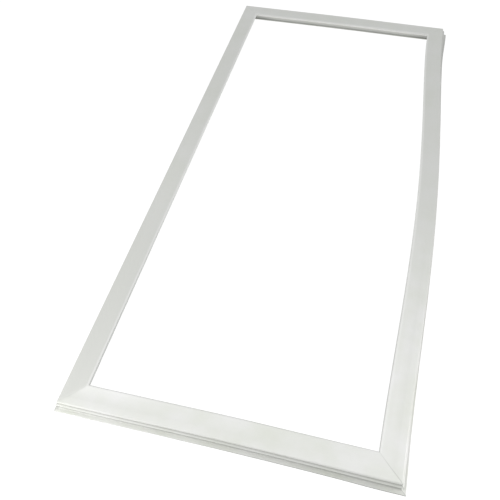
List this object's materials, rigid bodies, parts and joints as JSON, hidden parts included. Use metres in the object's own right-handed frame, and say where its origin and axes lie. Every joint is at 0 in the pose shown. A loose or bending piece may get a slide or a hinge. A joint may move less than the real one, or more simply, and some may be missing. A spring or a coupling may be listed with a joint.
{
  "type": "refrigerator door gasket",
  "caption": "Hollow soft vinyl frame with a magnetic sealing face, a bellows side and a push-in dart, welded at its mitred corners, that seals a refrigerator door.",
  "frame": {"origin": "on the surface that the gasket lies on, under the middle of its box", "axes": "+Y along the long sides, towards the top of the door; +X along the short sides; +Z out of the sealing face"},
  "size_m": [0.5896, 1.2928, 0.0305],
  "materials": {
    "white_vinyl": "satin off-white plasticised vinyl",
    "magnet_rubber": "matt dark brown ferrite-filled rubber"
  },
  "bodies": {
    "root": {"gasket_profile": "white_vinyl", "magnet_strip_bottom": "magnet_rubber", "magnet_strip_right": "magnet_rubber", "magnet_strip_top": "magnet_rubber", "magnet_strip_left": "magnet_rubber"}
  },
  "joints": []
}
